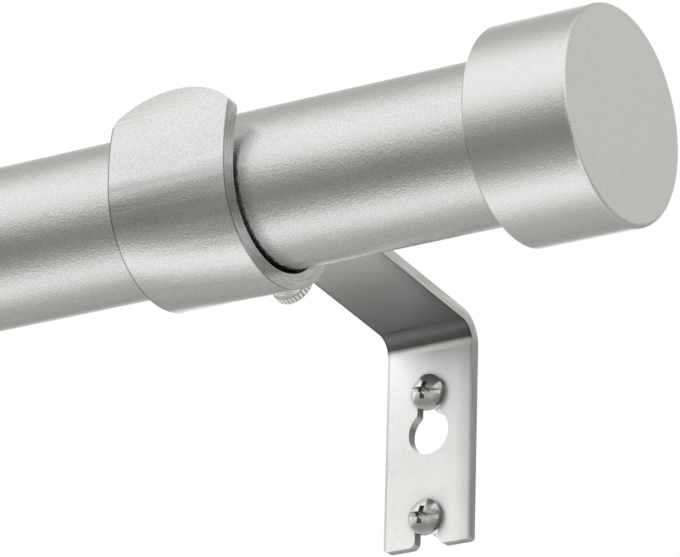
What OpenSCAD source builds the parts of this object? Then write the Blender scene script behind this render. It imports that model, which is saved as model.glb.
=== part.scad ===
// Extendable curtain rod with two wall brackets, for a wall behind it at y = 0.
// +X runs along the rod to the right, +Y into the wall and +Z up.
// The origin is on the wall, in the middle of the right bracket's plate.

/* [Rod] */
// Overall length with the rod closed, from cap face to cap face
closed_length = 711; // [600:1:1400]
// Outside diameter of the outer tube
outer_tube_od = 25.4; // [24:0.1:26]
// Wall of the outer tube
outer_tube_wall = 0.9; // [0.7:0.05:1.1]
// Outside diameter of the inner tube
inner_tube_od = 22.2; // [21:0.1:22.8]
// Wall of the inner tube
inner_tube_wall = 0.8; // [0.6:0.05:1.2]
// Bare inner tube between the left cradle and the outer tube's mouth
mouth_gap = 30; // [28:0.5:60]
// Length of inner tube that stays inside when the rod is fully drawn out
least_overlap = 70; // [50:1:120]
// Room left at the closed end for the inner tube's guide
end_room = 19.5; // [12:0.1:40]
// Running clearance, on the radius, between sliding pieces
slide_clearance = 0.05; // [0.03:0.01:0.08]

/* [Tube guides] */
// Length of the collar that lines the outer tube's mouth
collar_length = 14; // [8:0.5:25]
// Thickness of the collar's flange on the tube's end
collar_flange = 1.2; // [0.8:0.1:2]
// Length of the guide's plug inside the inner tube
guide_plug_length = 12; // [8:0.5:20]
// Thickness of the guide's flange that slides in the outer tube
guide_flange = 3; // [2:0.1:5]
// Wall of the guide's plug
guide_wall = 1.6; // [1:0.1:2.5]

/* [End caps] */
// How far an end cap's skirt stands out beyond the tube
cap_step = 4.3; // [4:0.1:6]
// Length of an end cap's skirt, with its face
cap_length = 17.7; // [14:0.1:24]
// Wall of the skirt
cap_wall = 1.5; // [1:0.1:1.8]
// Thickness of the cap's closed face
cap_face = 1.6; // [1.2:0.1:2.5]
// Rounding of the face's rim
cap_edge = 0.7; // [0.4:0.05:1]
// Bevel round the skirt's open edge
cap_rear_bevel = 0.3; // [0.2:0.05:0.5]
// Clear tube between a cap and the cradle beside it
cap_to_cradle = 42.5; // [30:0.1:80]
// Gap between the tube's end and the cap's face
cap_end_gap = 0.3; // [0.2:0.05:0.6]
// Length of the plastic liner inside a cap
liner_length = 12.5; // [9:0.1:13]
// Number of grip ribs in a liner
liner_ribs = 8; // [4:1:12]
// Height of a grip rib
liner_rib_height = 0.5; // [0.3:0.05:0.8]
// Width of a grip rib
liner_rib_width = 1.4; // [1:0.1:2.5]

/* [Bracket arm] */
// Distance from the wall to the rod's axis
rod_reach = 62.7; // [55:0.1:90]
// Height of the rod's axis above the plate's middle
rod_height = 27.1; // [24:0.1:32]
// Width of the bracket's strip
strip_width = 16.1; // [14:0.1:20]
// Thickness of the bracket's strip
strip_thickness = 1.8; // [1.6:0.1:2.5]
// Inside radius of the bend between the arm and the plate
bend_radius = 3.4; // [1.5:0.1:4]
// Inside radius of the bend between the arm and the tab
tab_bend_radius = 1.9; // [1.5:0.1:2.5]
// Fall of the arm towards the wall, in degrees
arm_fall_angle = 6.8; // [4:0.1:9]
// Height of the inside corner between the arm and the plate
arm_corner_height = 25.2; // [23:0.1:26.5]
// Height of the tab above its bend
tab_height = 5.8; // [5.2:0.1:9]
// Corner radius of the tab
tab_corner = 2.5; // [1:0.1:4]

/* [Wall plate] */
// Height of the upper screw above the plate's middle
upper_screw_height = 15; // [13.5:0.1:16]
// Distance between the two wall screws
screw_spacing = 21.3; // [19:0.1:24]
// Width of the slots that the screws stand in
slot_width = 4.35; // [4.3:0.05:5]
// Distance from the upper screw down to the keyhole's round middle
keyhole_drop = 6.7; // [6:0.1:7.5]
// Diameter of the keyhole's round part
keyhole_diameter = 7.5; // [7:0.1:8]
// Blend between the keyhole's round part and its neck
keyhole_blend = 1; // [0.6:0.1:1.5]
// Plate below the lower screw
plate_below_screw = 4.7; // [4:0.1:7]
// Rounding of the lower slot's two lips
slot_lip_radius = 1.2; // [0.8:0.1:2.2]
// Rounding of the plate's outer corners
plate_corner = 0.6; // [0.4:0.1:2.5]

/* [Cradle] */
// Width of the cradle along the rod
cradle_width = 21.4; // [18:0.1:24]
// Thickness of the cradle's strap
cradle_thickness = 2.45; // [2:0.05:3.4]
// Clearance between the cradle's bend and the outer tube, on the radius
cradle_clearance = 0.4; // [0.35:0.05:1]
// How far the cradle's middle lies in front of the rod's axis
cradle_forward = 0.15; // [0:0.05:0.3]
// How far the cradle's middle lies below the rod's axis
cradle_below = 0.2; // [0.1:0.05:0.3]
// Inside radius of the front leg's bow
leg_bow = 33; // [28:0.5:60]
// How far below level the front leg's bow starts, in degrees
leg_bow_angle = 5.6; // [3:0.1:9]
// Height of the front tongue above the cradle's middle
tongue_height = 13.9; // [12:0.05:16]
// Radius of the tongue's crown
tongue_crown = 15.6; // [13:0.1:30]
// Rounding of the tongue's two corners
tongue_corner = 2.8; // [0.8:0.1:4]
// How far the rear leg stands above the tab
leg_over_tab = 0.4; // [0.2:0.1:2]
// Corner radius of the rear leg
rear_leg_corner = 3; // [1:0.1:5]

/* [Cradle rivets] */
// Diameter of a rivet's shank
rivet_diameter = 2.8; // [2.4:0.1:3.4]
// Diameter of a rivet's head
rivet_head = 4.6; // [4.2:0.1:4.9]
// Thickness of a rivet's head
rivet_head_height = 0.9; // [0.6:0.05:1.1]
// Distance between the two rivets
rivet_spacing = 7.6; // [7:0.1:9]
// Gap between the rivets' heads and the tab's bend
rivet_gap = 0.3; // [0.1:0.05:0.6]

/* [Thumb screw] */
// Angle of the thumb screw, from straight down round to the wall, in degrees
thumb_angle = 71; // [60:1:74]
// Diameter of the thumb screw's thread
thumb_thread = 4; // [3.5:0.1:4.5]
// Diameter over the knurled knob
knob_diameter = 6.8; // [6.4:0.1:8]
// Thickness of the knob
knob_thickness = 1.9; // [1.6:0.1:3]
// Number of ridges round the knob
knob_ridges = 30; // [20:1:40]
// Depth of the grooves between the ridges
knob_groove = 0.22; // [0.1:0.02:0.3]
// Bevel of the knob's two rims
knob_bevel = 0.3; // [0.2:0.05:0.5]
// Length of the thumb screw from its tip to the knob
thumb_length = 7.5; // [7:0.1:9]
// Bevel of the thumb screw's tip
thumb_tip_bevel = 0.5; // [0.3:0.05:0.8]
// Gap between the screw's tip and the tube
thumb_tip_gap = 0.1; // [0.05:0.01:0.2]

/* [Wall screws] */
// Diameter of a wall screw's shank over its thread
wall_screw_shank = 4.1; // [3.8:0.05:4.2]
// Diameter of the bare neck under the head
wall_screw_neck = 3.4; // [3:0.1:3.7]
// Length of a wall screw under its head
wall_screw_length = 9.5; // [9:0.1:30]
// Length of the screw's point
wall_screw_point = 3.6; // [3:0.1:5]
// Diameter of the screw's flat end at the point
wall_screw_tip = 0.6; // [0.4:0.1:1]
// Diameter of a wall screw's head
screw_head = 6; // [5.6:0.1:7]
// Full height of the head
screw_head_height = 2.1; // [2:0.1:2.6]
// Height of the head's straight side
screw_head_rim = 1; // [0.7:0.05:1.3]
// Width of the slot across the head
driver_slot_width = 0.75; // [0.6:0.05:1.1]
// Depth of the slot across the head
driver_slot_depth = 1; // [0.5:0.05:1.1]
// Length of the cross recess from tip to tip
cross_length = 3; // [2.6:0.1:4]
// Width of the cross recess's arms
cross_width = 0.9; // [0.8:0.05:1.2]
// Depth of the cross recess
cross_depth = 1.5; // [1.2:0.05:1.6]
// How far the screws' slots are turned from level, in degrees
driver_turn = 11; // [0:1:90]

/* [Hidden] */
$fn = 96;
// Overrun of every cut past the face it goes through
cut = 1;
// Clearance of a rivet and a thumb screw in their holes, on the radius
hole_clearance = 0.05;

outer_r = outer_tube_od / 2;
outer_bore_r = outer_r - outer_tube_wall;
inner_r = inner_tube_od / 2;
inner_bore_r = inner_r - inner_tube_wall;
cap_r = outer_r + cap_step;

// Places along the rod, counted from the middle of the right cradle
right_cap_x = cradle_width / 2 + cap_to_cradle;
right_face_x = right_cap_x + cap_length;
left_face_x = right_face_x - closed_length;
left_cap_x = left_face_x + cap_length;
left_bracket_x = left_face_x + right_face_x;
tube_end_inset = cap_face + cap_end_gap;
outer_right_x = right_face_x - tube_end_inset;
mouth_x = left_bracket_x + cradle_width / 2 + mouth_gap;
travel = outer_right_x - mouth_x - least_overlap - end_room;
inner_left_x = left_face_x + tube_end_inset;
inner_right_x = mouth_x + travel + least_overlap;

// The cradle
cradle_r_in = outer_r + cradle_clearance;
cradle_r_out = cradle_r_in + cradle_thickness;
cradle_y = -rod_reach - cradle_forward;
cradle_z = rod_height - cradle_below;
// The left bracket stands higher by the step between the tubes, so the thin tube lies in its cradle
seat_rise = outer_r - inner_r;
// The front leg's bow has its middle here, as y and z from the cradle's middle
bow_middle = (leg_bow - cradle_r_in) * [cos(leg_bow_angle), sin(leg_bow_angle)];
bow_top_angle = asin((tongue_height + cut - bow_middle.y) / leg_bow);

// The strip's bends
arm_up = [sin(arm_fall_angle), cos(arm_fall_angle)];
plate_front_y = -strip_thickness;
tab_front_y = cradle_y + cradle_r_out;
tab_back_y = tab_front_y + strip_thickness;
lower_bend = [
    plate_front_y - bend_radius,
    arm_corner_height + bend_radius * tan(arm_fall_angle) - bend_radius / cos(arm_fall_angle)
];
upper_bend_y = tab_back_y + tab_bend_radius;
arm_top_at_upper_bend = arm_corner_height + (plate_front_y - upper_bend_y) * tan(arm_fall_angle)
    + strip_thickness / cos(arm_fall_angle);
upper_bend = [upper_bend_y, arm_top_at_upper_bend + tab_bend_radius / cos(arm_fall_angle)];
tab_top = upper_bend.y + tab_height;
rivet_z = upper_bend.y + rivet_gap + rivet_head / 2;

// The plate's holes
lower_screw_height = upper_screw_height - screw_spacing;
plate_bottom = lower_screw_height - plate_below_screw;
keyhole_z = upper_screw_height - keyhole_drop;
slot_r = slot_width / 2;
keyhole_r = keyhole_diameter / 2;
blend_x = slot_r + keyhole_blend;
blend_z = sqrt(pow(keyhole_r + keyhole_blend, 2) - pow(blend_x, 2));

// The thumb screw's axis, as y and z
thumb_axis = [sin(thumb_angle), -cos(thumb_angle)];
thumb_r = thumb_thread / 2;

// Distance from a cradle's middle, along the thumb screw, to a tube of radius r whose axis
// lies at the point c, given as y and z from the cradle's middle
function reach_to_tube(r, c) = thumb_axis * c + sqrt(r * r - c * c + pow(thumb_axis * c, 2));

right_thumb_reach = reach_to_tube(outer_r, [cradle_forward, cradle_below]);
left_thumb_reach = reach_to_tube(inner_r, [cradle_forward, cradle_below - seat_rise]);

// Places its children, drawn along +Z from zero, along +X on the rod's axis
module on_rod(x) {
    translate([x, -rod_reach, rod_height])
        rotate([0, 90, 0])
            children();
}

// The same, but pointing to -X
module on_rod_leftward(x) {
    translate([x, -rod_reach, rod_height])
        rotate([0, -90, 0])
            children();
}

// Moves a bracket piece from the right bracket to the left one
module at_left() {
    translate([left_bracket_x, 0, seat_rise])
        children();
}

// Extrudes a profile drawn as y and z, centred along the rod
module across(width) {
    translate([-width / 2, 0, 0])
        rotate([90, 0, 90])
            linear_extrude(width)
                children();
}

// Extrudes an outline drawn as x and z, from the plane y towards the room
module slab(y, thickness) {
    translate([0, y, 0])
        rotate([90, 0, 0])
            linear_extrude(thickness)
                children();
}

module pipe(length, r_out, r_in) {
    difference() {
        cylinder(h = length, r = r_out);
        translate([0, 0, -cut])
            cylinder(h = length + 2 * cut, r = r_in);
    }
}

// A sector of a ring between two angles, less than half a turn apart
module ring_sector(r_in, r_out, a0, a1) {
    far = 2 * r_out;
    intersection() {
        difference() {
            circle(r_out);
            circle(r_in);
        }
        polygon([
            [0, 0],
            far * [cos(a0), sin(a0)],
            far * [cos((a0 + a1) / 2), sin((a0 + a1) / 2)],
            far * [cos(a1), sin(a1)]
        ]);
    }
}

// Quarter of square corner outside a circle, to be cut from a corner
module corner_cut(r) {
    difference() {
        square(r + cut);
        circle(r);
    }
}

// The bent strip from the foot of the tab, along the arm, to the top of the plate
module strip_profile() {
    translate(upper_bend)
        ring_sector(tab_bend_radius, tab_bend_radius + strip_thickness, 180, 270 - arm_fall_angle);
    polygon([
        upper_bend - tab_bend_radius * arm_up,
        upper_bend - (tab_bend_radius + strip_thickness) * arm_up,
        lower_bend + bend_radius * arm_up,
        lower_bend + (bend_radius + strip_thickness) * arm_up
    ]);
    translate(lower_bend)
        ring_sector(bend_radius, bend_radius + strip_thickness, 0, 90 - arm_fall_angle);
}

// An upright rectangle, as x and z, with its two upper corners rounded
module round_topped(width, bottom, top, corner) {
    difference() {
        translate([-width / 2, bottom])
            square([width, top - bottom]);
        for (side = [-1, 1])
            translate([side * (width / 2 - corner), top - corner])
                mirror([side < 0 ? 1 : 0, 0])
                    corner_cut(corner);
    }
}

module keyhole() {
    translate([0, upper_screw_height])
        circle(slot_r);
    translate([-slot_r, keyhole_z])
        square([slot_width, keyhole_drop]);
    translate([0, keyhole_z])
        circle(keyhole_r);
    // The neck's two blends into the round part
    translate([0, keyhole_z])
        difference() {
            polygon([[-blend_x, blend_z], [0, 0], [blend_x, blend_z]]);
            for (side = [-1, 1])
                translate([side * blend_x, blend_z])
                    circle(keyhole_blend);
        }
}

module lower_slot() {
    translate([0, lower_screw_height])
        circle(slot_r);
    translate([-slot_r, plate_bottom - cut])
        square([slot_width, plate_below_screw + cut]);
    // The rounded lips
    for (side = [-1, 1])
        translate([side * (slot_r + slot_lip_radius), plate_bottom + slot_lip_radius])
            mirror([side > 0 ? 1 : 0, 0])
                mirror([0, 1])
                    corner_cut(slot_lip_radius);
}

module plate_outline() {
    difference() {
        translate([-strip_width / 2, plate_bottom])
            square([strip_width, lower_bend.y - plate_bottom]);
        keyhole();
        lower_slot();
        for (side = [-1, 1])
            translate([side * (strip_width / 2 - plate_corner), plate_bottom + plate_corner])
                mirror([side < 0 ? 1 : 0, 0])
                    mirror([0, 1])
                        corner_cut(plate_corner);
    }
}

// Places its children, drawn along +Z, on the two rivets' axes, from the tab's front into the tab
module rivet_places() {
    for (side = [-1, 1])
        translate([side * rivet_spacing / 2, tab_front_y, rivet_z])
            rotate([-90, 0, 0])
                children();
}

module bracket_arm() {
    difference() {
        union() {
            across(strip_width)
                strip_profile();
            slab(0, strip_thickness)
                plate_outline();
            slab(tab_back_y, strip_thickness)
                round_topped(strip_width, upper_bend.y, tab_top, tab_corner);
        }
        rivet_places()
            translate([0, 0, -cut])
                cylinder(h = strip_thickness + 2 * cut, d = rivet_diameter + 2 * hole_clearance);
    }
}

// The front tongue's outline, as x and z from the cradle's middle: straight sides, round corners and a crown
module tongue_outline() {
    corner_x = cradle_width / 2 - tongue_corner;
    crown_z = tongue_height - tongue_crown;
    corner_z = crown_z + sqrt(pow(tongue_crown - tongue_corner, 2) - pow(corner_x, 2));
    translate([-cradle_width / 2, -cradle_r_out])
        square([cradle_width, cradle_r_out + corner_z]);
    for (side = [-1, 1])
        translate([side * corner_x, corner_z])
            circle(tongue_corner);
    intersection() {
        translate([0, crown_z])
            circle(tongue_crown);
        translate([-cradle_width / 2, 0])
            square([cradle_width, tongue_height]);
        polygon([
            [0, crown_z],
            [2 * corner_x, crown_z + 2 * (corner_z - crown_z)],
            [-2 * corner_x, crown_z + 2 * (corner_z - crown_z)]
        ]);
    }
}

// A strap bent round under the rod, with a bowed tongue in front and a straight leg on the tab
module cradle() {
    difference() {
        translate([0, cradle_y, cradle_z]) {
            across(cradle_width) {
                ring_sector(cradle_r_in, cradle_r_out, 180 + leg_bow_angle, 270);
                ring_sector(cradle_r_in, cradle_r_out, 270, 360);
            }
            intersection() {
                across(cradle_width)
                    translate(bow_middle)
                        ring_sector(leg_bow, leg_bow + cradle_thickness, 180 - bow_top_angle, 180 + leg_bow_angle);
                slab(0, 2 * cradle_r_out)
                    tongue_outline();
            }
            slab(cradle_r_out, cradle_thickness)
                round_topped(cradle_width, 0, tab_top + leg_over_tab - cradle_z, rear_leg_corner);
        }
        rivet_places()
            translate([0, 0, -cradle_thickness - cut])
                cylinder(h = cradle_thickness + 2 * cut, d = rivet_diameter + 2 * hole_clearance);
        thumb_place(cradle_r_in - cut)
            cylinder(h = cradle_thickness + 2 * cut, r = thumb_r + hole_clearance);
    }
}

module rivets() {
    rivet_places() {
        translate([0, 0, -cradle_thickness - rivet_head_height])
            cylinder(h = rivet_head_height, d = rivet_head);
        translate([0, 0, -cradle_thickness])
            cylinder(h = cradle_thickness + strip_thickness, d = rivet_diameter);
        translate([0, 0, strip_thickness])
            cylinder(h = rivet_head_height, d = rivet_head);
    }
}

// Places its children, drawn along +Z, on the thumb screw's axis, at a distance from the cradle's middle
module thumb_place(distance) {
    translate([0, cradle_y, cradle_z])
        rotate([thumb_angle - 180, 0, 0])
            translate([0, 0, distance])
                children();
}

// Two bevelled faces with a band of pointed ridges between them
module knurled_disc() {
    face_r = knob_diameter / 2 - knob_bevel;
    points = [
        for (i = [0 : 2 * knob_ridges - 1])
            let (r = knob_diameter / 2 - (i % 2) * knob_groove, a = 180 * i / knob_ridges)
                r * [cos(a), sin(a)]
    ];
    cylinder(h = knob_bevel, r1 = face_r - knob_bevel, r2 = face_r);
    translate([0, 0, knob_bevel])
        linear_extrude(knob_thickness - 2 * knob_bevel)
            polygon(points);
    translate([0, 0, knob_thickness - knob_bevel])
        cylinder(h = knob_bevel, r1 = face_r, r2 = face_r - knob_bevel);
}

// Drawn along +Z from its tip to its knob
module thumb_screw() {
    cylinder(h = thumb_tip_bevel, r1 = thumb_r - thumb_tip_bevel, r2 = thumb_r);
    translate([0, 0, thumb_tip_bevel])
        cylinder(h = thumb_length - thumb_tip_bevel, r = thumb_r);
    translate([0, 0, thumb_length])
        knurled_disc();
}

// Drawn with the head's underside on z = 0 and the point towards +Z
module wall_screw() {
    point_start = wall_screw_length - wall_screw_point;
    rise = screw_head_height - screw_head_rim;
    dome_r = (pow(screw_head / 2, 2) + rise * rise) / (2 * rise);
    cylinder(h = strip_thickness, d = wall_screw_neck);
    translate([0, 0, strip_thickness])
        cylinder(h = point_start - strip_thickness, d = wall_screw_shank);
    translate([0, 0, point_start])
        cylinder(h = wall_screw_point, d1 = wall_screw_shank, d2 = wall_screw_tip);
    difference() {
        intersection() {
            translate([0, 0, -screw_head_height])
                cylinder(h = screw_head_height, d = screw_head);
            translate([0, 0, dome_r - screw_head_height])
                sphere(dome_r);
        }
        rotate(driver_turn)
            translate([-screw_head, -driver_slot_width / 2, -screw_head_height - cut])
                cube([2 * screw_head, driver_slot_width, driver_slot_depth + cut]);
        for (turn = [0, 90])
            rotate(driver_turn + turn)
                translate([-cross_length / 2, -cross_width / 2, -screw_head_height - cut])
                    cube([cross_length, cross_width, cross_depth + cut]);
    }
}

module wall_screw_at(height) {
    translate([0, plate_front_y, height])
        rotate([-90, 0, 0])
            wall_screw();
}

// Drawn along +Z, open end first
module end_cap() {
    rotate_extrude()
        difference() {
            square([cap_r, cap_length]);
            translate([0, -cut])
                square([cap_r - cap_wall, cap_length - cap_face + cut]);
            translate([cap_r - cap_edge, cap_length - cap_edge])
                corner_cut(cap_edge);
            polygon([
                [cap_r - cap_rear_bevel, 0],
                [cap_r + cut, -cut],
                [cap_r + cut, cap_rear_bevel],
                [cap_r, cap_rear_bevel]
            ]);
        }
}

// Fills a cap's skirt behind its face and grips a tube of the outer tube's size
module cap_liner() {
    grip_r = outer_r + slide_clearance;
    start = cap_length - cap_face - liner_length;
    translate([0, 0, start]) {
        pipe(liner_length, cap_r - cap_wall, grip_r + liner_rib_height);
        for (i = [0 : liner_ribs - 1])
            rotate(360 * i / liner_ribs)
                difference() {
                    translate([0, -liner_rib_width / 2, 0])
                        cube([grip_r + liner_rib_height + slide_clearance, liner_rib_width, liner_length]);
                    translate([0, 0, -cut])
                        cylinder(h = liner_length + 2 * cut, r = grip_r);
                }
    }
}

module outer_tube() {
    color("silver")
        on_rod(mouth_x)
            pipe(outer_right_x - mouth_x, outer_r, outer_bore_r);
}

module outer_tube_collar() {
    color("gray")
        on_rod(mouth_x - collar_flange) {
            pipe(collar_flange + collar_length, outer_bore_r, inner_r + slide_clearance);
            pipe(collar_flange, outer_r, inner_r + slide_clearance);
        }
}

module inner_tube() {
    color("lightgray")
        on_rod(inner_left_x)
            pipe(inner_right_x - inner_left_x, inner_r, inner_bore_r);
}

module inner_tube_guide() {
    color("gray") {
        on_rod(inner_right_x - guide_plug_length)
            pipe(guide_plug_length + guide_flange, inner_bore_r, inner_bore_r - guide_wall);
        on_rod(inner_right_x)
            pipe(guide_flange, outer_bore_r - slide_clearance, inner_bore_r - guide_wall);
    }
}

module right_end_cap() {
    color("silver")
        on_rod(right_cap_x)
            end_cap();
}

module right_cap_liner() {
    color("dimgray")
        on_rod(right_cap_x)
            cap_liner();
}

module left_end_cap() {
    color("silver")
        on_rod_leftward(left_cap_x)
            end_cap();
}

module left_cap_liner() {
    color("dimgray")
        on_rod_leftward(left_cap_x)
            cap_liner();
}

// A sleeve that makes the thin tube's end as thick as the outer tube
module left_cap_reducer() {
    color("gray")
        on_rod(inner_left_x)
            pipe(liner_length, outer_r, inner_r);
}

module right_bracket_arm() {
    color("gainsboro")
        bracket_arm();
}

module right_cradle() {
    color("silver")
        cradle();
}

module right_cradle_rivets() {
    color("gray")
        rivets();
}

module right_thumb_screw() {
    color("silver")
        thumb_place(right_thumb_reach + thumb_tip_gap)
            thumb_screw();
}

module right_upper_wall_screw() {
    color("gray")
        wall_screw_at(upper_screw_height);
}

module right_lower_wall_screw() {
    color("gray")
        wall_screw_at(lower_screw_height);
}

module left_bracket_arm() {
    color("gainsboro")
        at_left()
            bracket_arm();
}

module left_cradle() {
    color("silver")
        at_left()
            cradle();
}

module left_cradle_rivets() {
    color("gray")
        at_left()
            rivets();
}

module left_thumb_screw() {
    color("silver")
        at_left()
            thumb_place(left_thumb_reach + thumb_tip_gap)
                thumb_screw();
}

module left_upper_wall_screw() {
    color("gray")
        at_left()
            wall_screw_at(upper_screw_height);
}

module left_lower_wall_screw() {
    color("gray")
        at_left()
            wall_screw_at(lower_screw_height);
}

outer_tube();
outer_tube_collar();
inner_tube();
inner_tube_guide();
right_end_cap();
right_cap_liner();
left_end_cap();
left_cap_liner();
left_cap_reducer();
right_bracket_arm();
right_cradle();
right_cradle_rivets();
right_thumb_screw();
right_upper_wall_screw();
right_lower_wall_screw();
left_bracket_arm();
left_cradle();
left_cradle_rivets();
left_thumb_screw();
left_upper_wall_screw();
left_lower_wall_screw();
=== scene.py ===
"""The looks of an extendable curtain rod: satin nickel, screw threads, a studio tent and a pale floor."""
import math

import bmesh
import bpy
from mathutils import Matrix, Vector


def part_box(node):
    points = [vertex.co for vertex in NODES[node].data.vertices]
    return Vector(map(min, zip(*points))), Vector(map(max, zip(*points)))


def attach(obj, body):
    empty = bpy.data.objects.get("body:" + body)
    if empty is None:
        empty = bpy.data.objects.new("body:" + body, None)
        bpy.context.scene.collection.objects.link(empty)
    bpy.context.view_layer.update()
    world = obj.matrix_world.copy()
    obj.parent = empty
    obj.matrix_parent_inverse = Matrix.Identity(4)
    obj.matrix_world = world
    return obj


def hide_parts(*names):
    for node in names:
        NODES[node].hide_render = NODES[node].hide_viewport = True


MM = 0.001
SIDES = ("right", "left")

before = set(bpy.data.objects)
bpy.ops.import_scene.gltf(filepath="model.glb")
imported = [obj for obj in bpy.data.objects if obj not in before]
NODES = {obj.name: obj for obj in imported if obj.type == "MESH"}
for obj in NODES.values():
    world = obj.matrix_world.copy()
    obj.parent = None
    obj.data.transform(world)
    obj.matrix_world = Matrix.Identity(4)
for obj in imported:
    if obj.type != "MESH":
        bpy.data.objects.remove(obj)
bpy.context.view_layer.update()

# Points of a mesh that lie nearer than this are one point
MERGE = 0.001 * MM

# The photograph's camera, fitted to the rod, cap, cradle and bracket
PHOTO_WIDTH_PX = 680
PHOTO_HEIGHT_PX = 557
FOCAL_PX = 5280
SENSOR_MM = 36
CAMERA_AZIMUTH = math.radians(33.18)
CAMERA_ELEVATION = math.radians(-21.0)
CAMERA_ROLL = math.radians(1.6)
CAMERA_DISTANCE = 0.808
NEAREST_SEEN = 0.01
FARTHEST_SEEN = 50
# Where the rod's axis meets the plane of the right cradle's right side, in the photograph
ANCHOR_PX = (281.2, 188.7)

# The studio tent's brightness by the angle round the rod, in degrees: from straight ahead (0) over the top
# (90) to the wall (180). On the left the wall throws light back, where the rod's back sees it.
TENT_LEFT = [
    (-180, 0.36), (-160, 0.34), (-140, 0.40), (-126, 0.42), (-114, 0.52), (-104, 0.68), (-95, 0.84),
    (-84, 0.92), (-73, 0.80), (-64, 0.54), (-56, 0.36), (-46, 0.27), (-32, 0.21), (-20, 0.23), (-9, 0.32),
    (2, 0.50), (12, 0.74), (22, 0.85), (36, 0.88), (54, 0.88), (68, 0.78), (80, 0.60), (94, 0.46),
    (116, 0.42), (132, 0.52), (146, 1.0), (168, 1.0), (180, 0.36),
]
TENT_RIGHT = [
    (-180, 0.36), (-140, 0.40), (-114, 0.52), (-95, 0.84), (-73, 0.80), (-56, 0.36), (-32, 0.21), (2, 0.50),
    (22, 0.85), (54, 0.88), (80, 0.60), (110, 0.50), (150, 0.56), (180, 0.36),
]
# The X of a direction where the tent's right side begins to give way, and where its left side is reached
TENT_RIGHT_END = 0.1
TENT_LEFT_START = -0.3
# The tint of the tent's darkest parts; its brightest are neutral
WARM_DARK = (1.0, 0.977, 0.888)
TENT_STRENGTH = 1.22
# The key lamp shines from the upper left of the camera towards the wall
KEY_DIRECTION = Vector((0.45, 0.55, -0.7))
KEY_STRENGTH = 2.5
KEY_SOFTNESS = math.radians(20)

FLOOR_REACH = 12.0
FLOOR_DROP = 1.3
FLOOR_COLOUR = (0.9, 0.9, 0.89, 1)
FLOOR_ROUGHNESS = 0.9

# Sizes of the pieces, as the CAD model has them
STRIP_THICKNESS = 1.8 * MM
ARM_FALL = math.radians(6.8)
ARM_CORNER_HEIGHT = 25.2 * MM
# Where the plate's flat front ends and the bend begins
PLATE_TOP = 22.2 * MM
# The cradle is wider than the rod, so its middle lies a little in front of the rod's axis and below it
CRADLE_FORWARD = 0.15 * MM
CRADLE_BELOW = 0.2 * MM
# The tongue's top edge above the cradle's middle
TONGUE_TOP = 13.9 * MM
# The thumb screw's line, from straight down round to the wall
THUMB_ANGLE = math.radians(71)
TOWARDS_ROD = Vector((0, -math.sin(THUMB_ANGLE), math.cos(THUMB_ANGLE)))
KNOB_RADIUS = 3.4 * MM
KNOB_THICKNESS = 1.9 * MM

# Screw threads: rings of points a turn, points a ring, and the root's share of the crest's radius
THREAD_STEPS = 12
THREAD_SIDES = 36
THREAD_ROOT = 0.74
# Half a ridge's width, as a share of the pitch
THREAD_FLANK = 0.36
# How far a thread starts inside the neck that it grows from
THREAD_OVERLAP = 0.1 * MM
# The crest's radius, the pitch, the length of the narrowing point and the radius at its tip
WALL_THREAD = {"crest": 2.05 * MM, "pitch": 1.5 * MM, "point": 3.6 * MM, "tip": 0.3 * MM}
THUMB_THREAD = {"crest": 2 * MM, "pitch": 0.7 * MM, "point": 0.5 * MM, "tip": 1.5 * MM}
# Where the threads are cut off their heads: in front of the wall, and from the knob's inner face
WALL_CUT = 0.1 * MM
THUMB_CUT = 0.3 * MM

# Edges that turn by more than this are shaded sharp on the new meshes
SHARP = math.radians(30)
# Edges that turn by more than this get a soft rounding, of these widths
SOFTENED = math.radians(35)
SOFTENING_STEPS = 3
HEAD_EDGE = 0.06 * MM
STRIP_EDGE = 0.22 * MM
CRADLE_EDGE = 0.2 * MM
RIVET_EDGE = 0.25 * MM

# Noise stays between these levels nearly everywhere
NOISE_LOW = 0.3
NOISE_HIGH = 0.7
METAL_GRAINS_PER_METRE = 3000
PLASTIC_GRAINS_PER_METRE = 1800
CLOUDS_PER_METRE = 260
# Clouds are four times as long along the rod
CLOUD_SHARES = (0.25, 1, 1)
CLOUD_ROUGHNESS = 0.03
RELIEF_HEIGHT = 0.03 * MM
PLASTIC_RELIEF = 0.3
PLASTIC_GRAIN = 0.06

# The openness of a closed corner, and of a place that counts as open
CORNER_CLOSED = 0.25
CORNER_OPEN = 0.9
CORNER_SAMPLES = 8
# A shade's reach, its darkest level, and whether only the piece's own corners count
CRADLE_CORNER = {"reach": 3 * MM, "darkest": 0.85}
STRIP_CORNER = {"reach": 2.6 * MM, "darkest": 0.3, "own": False}
SCREW_CORNER = {"reach": 2.2 * MM, "darkest": 0.8, "own": False}
KNOB_CORNER = {"reach": 1.0 * MM, "darkest": 0.6, "own": False}

# How much of a normal points sideways where a strap's face ends, and where its side begins
FACE_END = 0.8
SIDE_START = 0.97
STREAKS_PER_METRE = 2600
STREAK_DETAIL = 3.0
STREAK_SHADES = (0.76, 1.16)
# Streaks are long because the way along a strap counts for little: what a radian round the cradle counts,
# and what share of its length the strip counts
CRADLE_STREAK_TURN = 1.5 * MM
STRIP_STREAK_SHARE = 0.04

# Painted shade: dark lines along the edges of the cradles and caps, and fainter ones along the strip's
EDGE_LINE = {"width": 0.3 * MM, "darkest": 0.4}
STRIP_LINE = {"width": 0.25 * MM, "darkest": 0.7}
STRIP_LINE_INSET = 0.2 * MM

CRADLE_SIDE_SHADE = 0.8
# Painted light: the tongue is lighter towards its top
TONGUE_LIGHT_DEPTH = 5 * MM
TONGUE_TOP_LIGHT = 1.36
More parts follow.
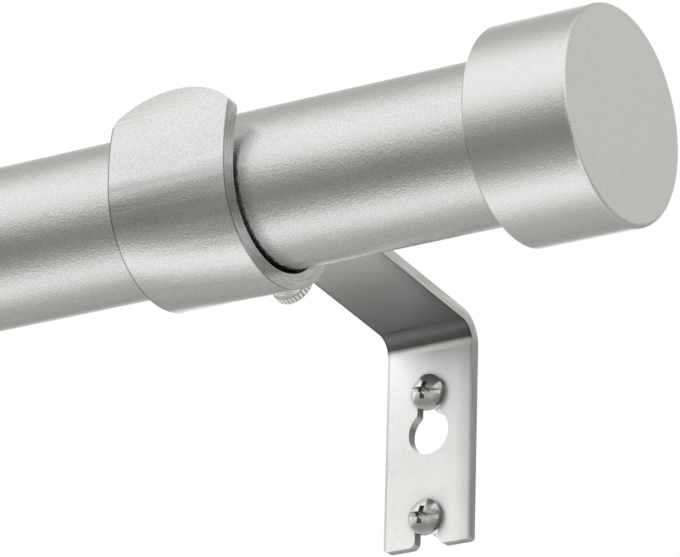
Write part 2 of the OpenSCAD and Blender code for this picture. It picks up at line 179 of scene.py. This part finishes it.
# Painted reflection: the edges of the dark band that the cradle's face mirrors, as angles upwards from
# straight ahead, darkened above and lightened below. Each has its full shade within a share of the reach,
# and none beyond the reach.
UPPER_FLANK = math.radians(-11.5)
UPPER_FLANK_SHARE = 0.45
UPPER_FLANK_SHADE = 0.8
LOWER_FLANK = math.radians(-38)
LOWER_FLANK_SHARE = 0.2
LOWER_FLANK_SHADE = 1.14
FLANK_REACH = math.radians(11)

# Each pair below says where something begins to change and where the change is complete.
# Painted shade: the strip's sheared sides are darker on the plate than on the arm
SIDE_HEIGHTS = (PLATE_TOP, PLATE_TOP + 5 * MM)
SIDE_SHADES = (0.46, 0.9)
# The depths in the strip's thickness at which its front, painted lighter than its other faces, ends
FRONT_DEPTHS = (0.2 * STRIP_THICKNESS, 0.6 * STRIP_THICKNESS)
# The heights at which the painted shade on the arm's underside begins
UNDERSIDE_HEIGHTS = (PLATE_TOP + 0.6 * MM, PLATE_TOP + 1.3 * MM)
# How much painted shade the underside gets by its place between the tab and the wall: darkest in the bend
UNDERSIDE_DARKENING = ((-42 * MM, 0.14), (-20 * MM, 0.71), (-5 * MM, 0.86))
# How much of a normal points sideways where the strip's broad faces end
FACING_NORMALS = (0.5, 0.8)
# Painted shade on the walls of the plate's holes and its lower edge, which are told by how little of their
# normal points out, by their height and by their distance from the strip's sides
WALL_NORMALS = (0.3, 0.5)
WALL_HEIGHTS = (PLATE_TOP - 2 * MM, PLATE_TOP - 1 * MM)
WALLS_INSIDE = (0.7 * MM, 0.4 * MM)
WALL_DARKENING = 0.42
# Painted shade: the strip's right side is darker towards its edge, from this far inside it
RIGHT_EDGE_INSIDE = (3 * MM, 0.1 * MM)
RIGHT_EDGE_SHADE = 0.76
# Painted shade: the strip's broad faces other than the front and the arm's underside are darker
BACK_FACE_DARKENING = 0.3

# Zinc screws look darker where they face up or to the right, because the studio is dark there
UPPER_NORMALS = (0.15, 0.5)
UPPER_SHADE = 0.9
RIGHT_NORMALS = (0.3, 0.8)
RIGHT_SHADE = 0.3

# How far below the ridges' crests the knob's rim begins, and the painted shade in its valleys ends
RIM_BELOW_CREST = (0.34 * MM, 0.28 * MM)
VALLEY_BELOW_CREST = (0.2 * MM, 0.02 * MM)
VALLEY_DARKENING = 0.55

# The thin tube's weld lies this far round the tube from the wall's side, counted upwards
SEAM_ANGLE = math.radians(-62)
SEAM_SHADE_ENDS = (0.2 * MM, 0.5 * MM)
SEAM_SHADE = 0.62
SEAM_RELIEF_ENDS = (0.1 * MM, 0.6 * MM)
SEAM_RELIEF = 2.0


def rod_axis_point(x):
    low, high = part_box("outer_tube")
    middle = (low + high) / 2
    return Vector((x, middle.y, middle.z))


AXIS = rod_axis_point(0)


def bracket_rise(side):
    """How much higher a bracket stands than the right one."""
    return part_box(side + "_bracket_arm")[0].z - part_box("right_bracket_arm")[0].z


def cradle_middle(side):
    low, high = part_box(side + "_cradle")
    forward = AXIS.y - CRADLE_FORWARD
    height = AXIS.z - CRADLE_BELOW + bracket_rise(side)
    return Vector(((low.x + high.x) / 2, forward, height))


def grey(level):
    return (level, level, level)


def link_object(name, data):
    piece = bpy.data.objects.new(name, data)
    bpy.context.scene.collection.objects.link(piece)
    return piece


def add_camera():
    """The photograph's camera, placed so that the anchor lies on its own pixel."""
    az, el, roll = CAMERA_AZIMUTH, CAMERA_ELEVATION, CAMERA_ROLL
    back = Vector((math.sin(az) * math.cos(el), -math.cos(az) * math.cos(el), math.sin(el)))
    level = Vector((math.cos(az), math.sin(az), 0))
    above = back.cross(level)
    right = math.cos(roll) * level + math.sin(roll) * above
    up = -math.sin(roll) * level + math.cos(roll) * above
    anchor = rod_axis_point(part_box("right_cradle")[1].x)
    across = (ANCHOR_PX[0] - PHOTO_WIDTH_PX / 2) / FOCAL_PX * CAMERA_DISTANCE
    rise = (PHOTO_HEIGHT_PX / 2 - ANCHOR_PX[1]) / FOCAL_PX * CAMERA_DISTANCE
    place = anchor - across * right - rise * up + CAMERA_DISTANCE * back
    data = bpy.data.cameras.new("camera")
    data.sensor_width = SENSOR_MM
    data.lens = SENSOR_MM * FOCAL_PX / PHOTO_WIDTH_PX
    data.clip_start = NEAREST_SEEN
    data.clip_end = FARTHEST_SEEN
    camera = link_object("camera", data)
    turn = Matrix((right, up, back)).transposed().to_4x4()
    camera.matrix_world = Matrix.Translation(place) @ turn
    bpy.context.scene.camera = camera


def math_node(tree, operation, a, b=None):
    """A math node's output: a and b are sockets or plain numbers."""
    node = tree.nodes.new("ShaderNodeMath")
    node.operation = operation
    for socket, value in zip(node.inputs, (a, b)):
        if value is None:
            continue
        if isinstance(value, (int, float)):
            socket.default_value = value
        else:
            tree.links.new(value, socket)
    return node.outputs[0]


def times(tree, a, b):
    return math_node(tree, "MULTIPLY", a, b)


def minus(tree, a, b):
    return math_node(tree, "SUBTRACT", a, b)


def plus(tree, a, b):
    return math_node(tree, "ADD", a, b)


def unsigned(tree, value):
    return math_node(tree, "ABSOLUTE", value)


def distance(tree, a, b):
    """The long side of a right triangle with sides a and b."""
    return math_node(tree, "SQRT", plus(tree, times(tree, a, a), times(tree, b, b)))


def vector_node(tree, operation, vector, other=None):
    node = tree.nodes.new("ShaderNodeVectorMath")
    node.operation = operation
    tree.links.new(vector, node.inputs[0])
    if other is not None:
        node.inputs[1].default_value = other
    return node


def spread(tree, value, low, high, to_low, to_high):
    """The value's way from low to high, told as the way from to_low to to_high and held at its ends."""
    node = tree.nodes.new("ShaderNodeMapRange")
    for name, number in (("From Min", low), ("From Max", high), ("To Min", to_low), ("To Max", to_high)):
        node.inputs[name].default_value = number
    tree.links.new(value, node.inputs["Value"])
    return node.outputs[0]


def chain(tree, value, points):
    """A level that runs straight from point to point: each is a value and its level."""
    (low, to_low), (high, to_high) = points[:2]
    level = spread(tree, value, low, high, to_low, to_high)
    for (low, to_low), (high, to_high) in zip(points[1:], points[2:]):
        level = plus(tree, level, spread(tree, value, low, high, 0, to_high - to_low))
    return level


def noise(tree, vector, per_metre, detail=2.0):
    node = tree.nodes.new("ShaderNodeTexNoise")
    node.inputs["Scale"].default_value = per_metre
    node.inputs["Detail"].default_value = detail
    tree.links.new(vector, node.inputs["Vector"])
    return node.outputs[0]


def noise_spread(tree, value, to_low, to_high):
    return spread(tree, value, NOISE_LOW, NOISE_HIGH, to_low, to_high)


def texture_place(tree, output):
    return tree.nodes.new("ShaderNodeTexCoord").outputs[output]


def coordinates(tree, output):
    """The X, Y and Z sockets of a texture coordinate."""
    parts = tree.nodes.new("ShaderNodeSeparateXYZ")
    tree.links.new(texture_place(tree, output), parts.inputs[0])
    return parts.outputs


def tent_ramp(tree, share, levels):
    """The tent's colour by the share of the way round the rod."""
    ramp = tree.nodes.new("ShaderNodeValToRGB")
    ramp.color_ramp.interpolation = "EASE"
    stops = ramp.color_ramp.elements
    while len(stops) < len(levels):
        stops.new(0.5)
    for stop, (degrees, level) in zip(stops, levels):
        stop.position = (degrees + 180) / 360
        tint = [1 - (1 - part) * (1 - level) for part in WARM_DARK]
        stop.color = (level * tint[0], level * tint[1], level * tint[2], 1)
    tree.links.new(share, ramp.inputs[0])
    return ramp.outputs[0]


def add_world():
    """The tent, which the metal mirrors, behind a plain white that only the camera sees."""
    world = bpy.data.worlds.new("studio")
    bpy.context.scene.world = world
    world.use_nodes = True
    tree = world.node_tree
    tree.nodes.clear()
    towards = coordinates(tree, "Generated")
    angle = math_node(tree, "ARCTAN2", towards["Z"], times(tree, towards["Y"], -1))
    share = spread(tree, angle, -math.pi, math.pi, 0, 1)
    left = spread(tree, towards["X"], TENT_RIGHT_END, TENT_LEFT_START, 0, 1)
    left.node.interpolation_type = "SMOOTHSTEP"
    both = tree.nodes.new("ShaderNodeMix")
    both.data_type = "RGBA"
    tree.links.new(left, both.inputs["Factor"])
    tree.links.new(tent_ramp(tree, share, TENT_RIGHT), both.inputs["A"])
    tree.links.new(tent_ramp(tree, share, TENT_LEFT), both.inputs["B"])
    tent = tree.nodes.new("ShaderNodeBackground")
    tent.inputs["Strength"].default_value = TENT_STRENGTH
    tree.links.new(both.outputs["Result"], tent.inputs["Color"])
    plain = tree.nodes.new("ShaderNodeBackground")
    plain.inputs["Color"].default_value = (1, 1, 1, 1)
    ray = tree.nodes.new("ShaderNodeLightPath")
    mix = tree.nodes.new("ShaderNodeMixShader")
    tree.links.new(ray.outputs["Is Camera Ray"], mix.inputs[0])
    tree.links.new(tent.outputs[0], mix.inputs[1])
    tree.links.new(plain.outputs[0], mix.inputs[2])
    out = tree.nodes.new("ShaderNodeOutputWorld")
    tree.links.new(mix.outputs[0], out.inputs["Surface"])


def add_key_lamp():
    """A soft lamp that only matt surfaces show: the shiny ones mirror the tent instead."""
    data = bpy.data.lights.new("key", "SUN")
    data.energy = KEY_STRENGTH
    data.angle = KEY_SOFTNESS
    lamp = link_object("key", data)
    lamp.rotation_mode = "QUATERNION"
    lamp.rotation_quaternion = KEY_DIRECTION.to_track_quat("-Z", "Y")
    lamp.visible_glossy = False


def new_material(name):
    material = bpy.data.materials.new(name)
    material.use_nodes = True
    return material, material.node_tree, material.node_tree.nodes["Principled BSDF"]


def add_floor():
    mesh = bpy.data.meshes.new("floor")
    signs = ((-1, -1), (1, -1), (1, 1), (-1, 1))
    corners = [(x * FLOOR_REACH, y * FLOOR_REACH, -FLOOR_DROP) for x, y in signs]
    mesh.from_pydata(corners, [], [(0, 1, 2, 3)])
    floor = link_object("floor", mesh)
    material, _, shader = new_material("pale_floor")
    shader.inputs["Base Color"].default_value = FLOOR_COLOUR
    shader.inputs["Roughness"].default_value = FLOOR_ROUGHNESS
    mesh.materials.append(material)
    floor.visible_glossy = False


def corner_shade(tree, reach, darkest, own=True):
    """Shade that gathers in corners, a piece's own or against its neighbours too: 1 in the open."""
    corner = tree.nodes.new("ShaderNodeAmbientOcclusion")
    corner.only_local = own
    corner.samples = CORNER_SAMPLES
    corner.inputs["Distance"].default_value = reach
    return spread(tree, corner.outputs["AO"], CORNER_CLOSED, CORNER_OPEN, darkest, 1)


def side_share(tree):
    """0 on a strap's faces and 1 on its sheared sides."""
    sideways = unsigned(tree, coordinates(tree, "Normal")["X"])
    return spread(tree, sideways, FACE_END, SIDE_START, 0, 1)


def edge_lines(tree, places, width, darkest):
    """Painted shade: thin dark lines round the rod, where a sheared or turned edge turns away: places along
    X.
    """
    along = coordinates(tree, "Object")["X"]
    face = minus(tree, 1, side_share(tree))
    shade = 1
    for place in places:
        away = unsigned(tree, minus(tree, along, place))
        line = times(tree, face, spread(tree, away, 0.5 * width, width, 1 - darkest, 0))
        shade = times(tree, minus(tree, 1, line), shade)
    return shade


def sheared_shade(tree, depth, along, level):
    """Shade of a strap's sheared sides, at the level, with streaks that run along the strap."""
    side = side_share(tree)
    streak_place = tree.nodes.new("ShaderNodeCombineXYZ")
    tree.links.new(depth, streak_place.inputs[0])
    tree.links.new(along, streak_place.inputs[1])
    streaks = noise(tree, streak_place.outputs[0], STREAKS_PER_METRE, STREAK_DETAIL)
    streaked = times(tree, noise_spread(tree, streaks, *STREAK_SHADES), level)
    # One where the face isn't a side, and the streaks' shade where it is
    return plus(tree, minus(tree, 1, side), times(tree, side, streaked))


def flank_shade(tree, angle, flank, share, shade):
    """Painted reflection along one edge of the mirrored band: the given shade, fading out on both sides of
    it.
    """
    away = unsigned(tree, minus(tree, angle, flank))
    return spread(tree, away, share * FLANK_REACH, FLANK_REACH, shade, 1)


def cradle_shade(side):
    """The cradle's streaked sides, painted dark lines along its face's edges, and painted light and shade on
    its face.
    """
    low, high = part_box(side + "_cradle")
    middle = cradle_middle(side)

    def shade(tree):
        spot = coordinates(tree, "Object")
        across = minus(tree, spot["Y"], middle.y)
        above = minus(tree, spot["Z"], middle.z)
        round_rod = times(tree, math_node(tree, "ARCTAN2", above, across), CRADLE_STREAK_TURN)
        sides = sheared_shade(tree, distance(tree, across, above), round_rod, CRADLE_SIDE_SHADE)
        # Painted shade lines along both edges of the cradle's face
        lines = edge_lines(tree, (low.x, high.x), **EDGE_LINE)
        # Painted light: the tongue's face is lighter towards its top
        lighter_top = spread(tree, above, TONGUE_TOP - TONGUE_LIGHT_DEPTH, TONGUE_TOP, 1, TONGUE_TOP_LIGHT)
        # Painted reflection: the mirrored dark band is shaded a little higher than the round face puts it,
        # as a bowed face would
        angle = math_node(tree, "ARCTAN2", above, minus(tree, middle.y, spot["Y"]))
        upper = flank_shade(tree, angle, UPPER_FLANK, UPPER_FLANK_SHARE, UPPER_FLANK_SHADE)
        lower = flank_shade(tree, angle, LOWER_FLANK, LOWER_FLANK_SHARE, LOWER_FLANK_SHADE)
        face = times(tree, lighter_top, times(tree, upper, lower))
        return times(tree, times(tree, sides, lines), times(tree, corner_shade(tree, **CRADLE_CORNER), face))

    return shade


def cap_shade(side):
    """A painted contact shadow: a dark line along the cap's rear edge, where it meets the tube."""
    low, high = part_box(side + "_end_cap")
    rear = low.x if side == "right" else high.x
    return lambda tree: edge_lines(tree, (rear,), **EDGE_LINE)


def strip_shade(side):
    """The strip's streaked sides and painted shade: on hole walls, right edge, back faces and underside,
    darkest in the bend.
    """
    low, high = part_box(side + "_bracket_arm")
    middle = (low.x + high.x) / 2
    half_width = (high.x - low.x) / 2
    wall_places = [half_width - inset for inset in WALLS_INSIDE]
    right_edge_places = [half_width - inset for inset in RIGHT_EDGE_INSIDE]
    line_places = (low.x + STRIP_LINE_INSET, high.x - STRIP_LINE_INSET)
    rise = bracket_rise(side)
    fall = math.tan(ARM_FALL)
    corner_z = ARM_CORNER_HEIGHT - STRIP_THICKNESS * fall

    def shade(tree):
        spot = coordinates(tree, "Object")
        normal = coordinates(tree, "Normal")
        height = minus(tree, spot["Z"], rise)
        across = minus(tree, spot["X"], middle)
        facing = spread(tree, unsigned(tree, normal["X"]), *FACING_NORMALS, 1, 0)
        # How deep a point lies in the strip's thickness, from the plate's front or the arm's underside
        in_plate = plus(tree, spot["Y"], STRIP_THICKNESS)
        in_arm = plus(tree, minus(tree, height, corner_z), times(tree, spot["Y"], fall))
        depth = math_node(tree, "MAXIMUM", in_plate, in_arm)
        front = spread(tree, depth, *FRONT_DEPTHS, 1, 0)

        along = times(tree, minus(tree, spot["Y"], height), STRIP_STREAK_SHARE)
        # Painted shade: the sheared sides are darker on the plate than on the arm
        level = spread(tree, height, *SIDE_HEIGHTS, *SIDE_SHADES)
        sides = sheared_shade(tree, depth, along, level)

        # Painted shade on the arm's underside, darkest in the bend
        on_arm = spread(tree, height, *UNDERSIDE_HEIGHTS, 0, 1)
        underside = times(tree, times(tree, front, on_arm), facing)
        underside_shade = times(tree, underside, chain(tree, spot["Y"], UNDERSIDE_DARKENING))

        # Painted shade on the walls of the plate's holes and its lower edge
        wall = spread(tree, unsigned(tree, normal["Y"]), *WALL_NORMALS, 1, 0)
        on_plate = spread(tree, height, *WALL_HEIGHTS, 1, 0)
        inside = spread(tree, unsigned(tree, across), *wall_places, 1, 0)
        hole_shade = times(tree, times(tree, wall, on_plate), times(tree, inside, WALL_DARKENING))

        # Painted shade towards the strip's right edge
        right_edge_shade = spread(tree, across, *right_edge_places, 1, RIGHT_EDGE_SHADE)
        # Painted shade on the strip's broad faces other than the front and the arm's underside
        back_face_shade = times(tree, times(tree, minus(tree, 1, front), facing), BACK_FACE_DARKENING)

        strip_painted_shade = times(tree, minus(tree, 1, underside_shade), minus(tree, 1, hole_shade))
        strip_painted_shade = times(tree, times(tree, strip_painted_shade, right_edge_shade), minus(tree, 1, back_face_shade))
        # Painted shade: faint dark lines along the strip's edges
        strip_painted_shade = times(tree, strip_painted_shade, edge_lines(tree, line_places, **STRIP_LINE))
        return times(tree, times(tree, sides, strip_painted_shade), corner_shade(tree, **STRIP_CORNER))

    return shade


def screw_shade(tree):
    """Painted shade: darker where a screw faces up or to the right."""
    normal = coordinates(tree, "Normal")
    upper = spread(tree, normal["Z"], *UPPER_NORMALS, 1, UPPER_SHADE)
    right = spread(tree, normal["X"], *RIGHT_NORMALS, 1, RIGHT_SHADE)
    return times(tree, upper, right)


def knurl_shade(side):
    """Painted shade in the valleys between the thumb screw's teeth, told from the teeth by their distance
    from its axis.
    """
    middle = cradle_middle(side)
    rim_radii = [KNOB_RADIUS - below for below in RIM_BELOW_CREST]
    valley_radii = [KNOB_RADIUS - below for below in VALLEY_BELOW_CREST]

    def shade(tree):
        offset = vector_node(tree, "SUBTRACT", texture_place(tree, "Object"), middle)
        turned = vector_node(tree, "CROSS_PRODUCT", offset.outputs[0], TOWARDS_ROD)
        radius = vector_node(tree, "LENGTH", turned.outputs[0]).outputs["Value"]
        on_rim = spread(tree, radius, *rim_radii, 0, 1)
        # Painted shade in the valleys between the teeth
        valley_darkening = spread(tree, radius, *valley_radii, VALLEY_DARKENING, 0)
        return minus(tree, 1, times(tree, on_rim, valley_darkening))

    return shade


def seam_distance(tree):
    """How far a point lies from the thin tube's weld, which runs along its lower back."""
    low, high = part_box("inner_tube")
    radius = (high.z - low.z) / 2
    spot = coordinates(tree, "Object")
    across = minus(tree, spot["Y"], AXIS.y + radius * math.cos(SEAM_ANGLE))
    above = minus(tree, spot["Z"], AXIS.z + radius * math.sin(SEAM_ANGLE))
    return distance(tree, across, above)


def colour_and_relief(tree, shader, colour, shade, height, relief):
    tint = tree.nodes.new("ShaderNodeVectorMath")
    tint.operation = "SCALE"
    tint.inputs[0].default_value = colour
    tree.links.new(shade, tint.inputs["Scale"])
    tree.links.new(tint.outputs[0], shader.inputs["Base Color"])
    bump = tree.nodes.new("ShaderNodeBump")
    bump.inputs["Strength"].default_value = relief
    bump.inputs["Distance"].default_value = RELIEF_HEIGHT
    tree.links.new(height, bump.inputs["Height"])
    tree.links.new(bump.outputs[0], shader.inputs["Normal"])


def satin_metal(name, colour, roughness, grain=0.07, sparkle=0.8, blotch=0.03, metallic=1.0,
                corner=None, shade_of_place=None, seam=False):
    """Satin nickel: speckled sparkling grain, faint clouds along the rod and a fine relief."""
    material, tree, shader = new_material(name)
    place = texture_place(tree, "Object")
    fine = noise(tree, place, METAL_GRAINS_PER_METRE)
    long_place = vector_node(tree, "MULTIPLY", place, CLOUD_SHARES).outputs[0]
    cloud = noise(tree, long_place, CLOUDS_PER_METRE, 3.0)
    grains = noise_spread(tree, fine, 1 - grain, 1 + grain)
    clouds = noise_spread(tree, cloud, 1 - blotch, 1 + blotch)
    shade = times(tree, grains, clouds)
    height = fine
    if corner:
        shade = times(tree, shade, corner_shade(tree, **corner))
    if shade_of_place:
        shade = times(tree, shade, shade_of_place(tree))
    if seam:
        away = seam_distance(tree)
        shade = times(tree, shade, spread(tree, away, *SEAM_SHADE_ENDS, SEAM_SHADE, 1))
        height = plus(tree, fine, spread(tree, away, *SEAM_RELIEF_ENDS, SEAM_RELIEF, 0))
    colour_and_relief(tree, shader, colour, shade, height, sparkle)
    rough = noise_spread(tree, cloud, roughness - CLOUD_ROUGHNESS, roughness + CLOUD_ROUGHNESS)
    tree.links.new(rough, shader.inputs["Roughness"])
    shader.inputs["Metallic"].default_value = metallic
    return material


def plastic(name, colour, roughness):
    """Moulded plastic with a fine grain."""
    material, tree, shader = new_material(name)
    fine = noise(tree, texture_place(tree, "Object"), PLASTIC_GRAINS_PER_METRE)
    shade = noise_spread(tree, fine, 1 - PLASTIC_GRAIN, 1 + PLASTIC_GRAIN)
    colour_and_relief(tree, shader, colour, shade, fine, PLASTIC_RELIEF)
    shader.inputs["Roughness"].default_value = roughness
    return material


def dress(node, material):
    mesh = NODES[node].data
    mesh.materials.clear()
    mesh.materials.append(material)


def soften_edges(piece, width):
    """Rounds a piece's sharp edges with modifiers, which leave its own mesh as it is."""
    weld = piece.modifiers.new("weld", "WELD")
    weld.merge_threshold = MERGE
    bevel = piece.modifiers.new("edges", "BEVEL")
    bevel.width = width
    bevel.segments = SOFTENING_STEPS
    bevel.limit_method = "ANGLE"
    bevel.angle_limit = SOFTENED
    bevel.harden_normals = True


def finish_mesh(bm, name, material, body):
    """Makes a piece of the mesh that rides on a body, smooth except at its sharp edges."""
    for face in bm.faces:
        face.smooth = True
    for edge in bm.edges:
        edge.smooth = edge.calc_face_angle(0) < SHARP
    mesh = bpy.data.meshes.new(name)
    bm.to_mesh(mesh)
    bm.free()
    mesh.materials.append(material)
    piece = link_object(name, mesh)
    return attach(piece, body)


def headed_copy(node, cut, direction):
    """The node's mesh up to the cut, closed there."""
    bm = bmesh.new()
    bm.from_mesh(NODES[node].data)
    bmesh.ops.remove_doubles(bm, verts=bm.verts, dist=MERGE)
    everything = bm.verts[:] + bm.edges[:] + bm.faces[:]
    bmesh.ops.bisect_plane(bm, geom=everything, plane_co=cut, plane_no=direction, clear_outer=True)
    bmesh.ops.holes_fill(bm, edges=[edge for edge in bm.edges if edge.is_boundary])
    return bm


def thread_mesh(start, direction, length, crest, pitch, point, tip):
    """A screw thread along direction: rings of points whose radius rises to the crest once a turn."""
    bm = bmesh.new()
    side_x = direction.orthogonal().normalized()
    side_y = direction.cross(side_x)
    rows = round(length / pitch * THREAD_STEPS)
    rings = []
    for row in range(rows + 1):
        along = length * row / rows
        left = length - along
        reach = crest if left > point else tip + (crest - tip) * left / point
        ring = []
        for i in range(THREAD_SIDES):
            share = i / THREAD_SIDES
            phase = (along / pitch - share) % 1
            # The ridge grows out of the shank over the first turn
            ridge = max(0, 1 - abs(phase - 0.5) / THREAD_FLANK) * min(1, along / pitch)
            radius = reach * (THREAD_ROOT + (1 - THREAD_ROOT) * ridge)
            turn = 2 * math.pi * share
            spoke = math.cos(turn) * side_x + math.sin(turn) * side_y
            ring.append(bm.verts.new(start + along * direction + radius * spoke))
        rings.append(ring)
    for ring, following in zip(rings, rings[1:]):
        for i in range(THREAD_SIDES):
            j = (i + 1) % THREAD_SIDES
            bm.faces.new((ring[i], ring[j], following[j], following[i]))
    bm.faces.new(reversed(rings[0]))
    bm.faces.new(rings[-1])
    return bm


def add_threads(node, body, material, cut, direction, shape):
    """Replaces a screw by its own head and neck, with a true thread from the cut to its end."""
    head = finish_mesh(headed_copy(node, cut, direction), node + "_head", material, body)
    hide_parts(node)
    soften_edges(head, HEAD_EDGE)
    end = max((vertex.co - cut).dot(direction) for vertex in NODES[node].data.vertices)
    thread = thread_mesh(cut - THREAD_OVERLAP * direction, direction, end + THREAD_OVERLAP, **shape)
    finish_mesh(thread, node + "_thread", material, body)


def add_wall_screw_threads(side, height_name, material):
    node = f"{side}_{height_name}_wall_screw"
    low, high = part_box(node)
    cut = Vector(((low.x + high.x) / 2, -WALL_CUT, (low.z + high.z) / 2))
    into_wall = Vector((0, 1, 0))
    add_threads(node, side + "_bracket", material, cut, into_wall, WALL_THREAD)


def add_thumb_screw_thread(side, material):
    node = side + "_thumb_screw"
    middle = cradle_middle(side)
    places = [(vertex.co - middle).dot(TOWARDS_ROD) for vertex in NODES[node].data.vertices]
    knob_face = min(places) + KNOB_THICKNESS
    cut = middle + (knob_face + THUMB_CUT) * TOWARDS_ROD
    add_threads(node, node, material, cut, TOWARDS_ROD, THUMB_THREAD)


def dress_end(side, screw_metal, rivet_metal, liner_plastic):
    """One end's cap, cradle, strip, rivets and screws."""
    cap_metal = satin_metal(side + "_satin_cap", grey(0.755), roughness=0.22, grain=0.05, sparkle=0.9,
                            blotch=0.012, shade_of_place=cap_shade(side))
    cradle_metal = satin_metal(side + "_satin_cradle", grey(0.71), roughness=0.14, grain=0.1, sparkle=1.1,
                               shade_of_place=cradle_shade(side))
    strip_metal = satin_metal(side + "_satin_strip", grey(0.98), roughness=0.34, grain=0.05, sparkle=0.7,
                              metallic=0.7, shade_of_place=strip_shade(side))
    knob_metal = satin_metal(side + "_nickel_knob", grey(0.96), roughness=0.18, grain=0.03, sparkle=0.2,
                             metallic=0.7, corner=KNOB_CORNER, shade_of_place=knurl_shade(side))
    dress(side + "_end_cap", cap_metal)
    dress(side + "_cap_liner", liner_plastic)
    dress(side + "_bracket_arm", strip_metal)
    dress(side + "_cradle", cradle_metal)
    dress(side + "_cradle_rivets", rivet_metal)
    soften_edges(NODES[side + "_bracket_arm"], STRIP_EDGE)
    soften_edges(NODES[side + "_cradle"], CRADLE_EDGE)
    soften_edges(NODES[side + "_cradle_rivets"], RIVET_EDGE)
    add_thumb_screw_thread(side, knob_metal)
    for height_name in ("upper", "lower"):
        add_wall_screw_threads(side, height_name, screw_metal)


add_camera()
add_world()
add_key_lamp()
add_floor()

tube_look = {"colour": grey(0.725), "roughness": 0.27, "grain": 0.1, "sparkle": 1.5}
tube_metal = satin_metal("satin_tube", **tube_look)
inner_metal = satin_metal("satin_inner_tube", seam=True, **tube_look)
bright_zinc = satin_metal("bright_screw", grey(0.84), roughness=0.2, grain=0.02, sparkle=0.1,
                          corner=SCREW_CORNER, shade_of_place=screw_shade)
rivet_steel = satin_metal("rivet_steel", (0.6, 0.6, 0.59), roughness=0.3)
grey_nylon = plastic("grey_nylon", (0.42, 0.42, 0.43), roughness=0.5)
black_plastic = plastic("black_plastic", grey(0.03), roughness=0.45)

dress("outer_tube", tube_metal)
dress("inner_tube", inner_metal)
for node in ("outer_tube_collar", "inner_tube_guide", "left_cap_reducer"):
    dress(node, grey_nylon)
for side in SIDES:
    dress_end(side, bright_zinc, rivet_steel, black_plastic)

bpy.context.scene.view_settings.view_transform = "Standard"
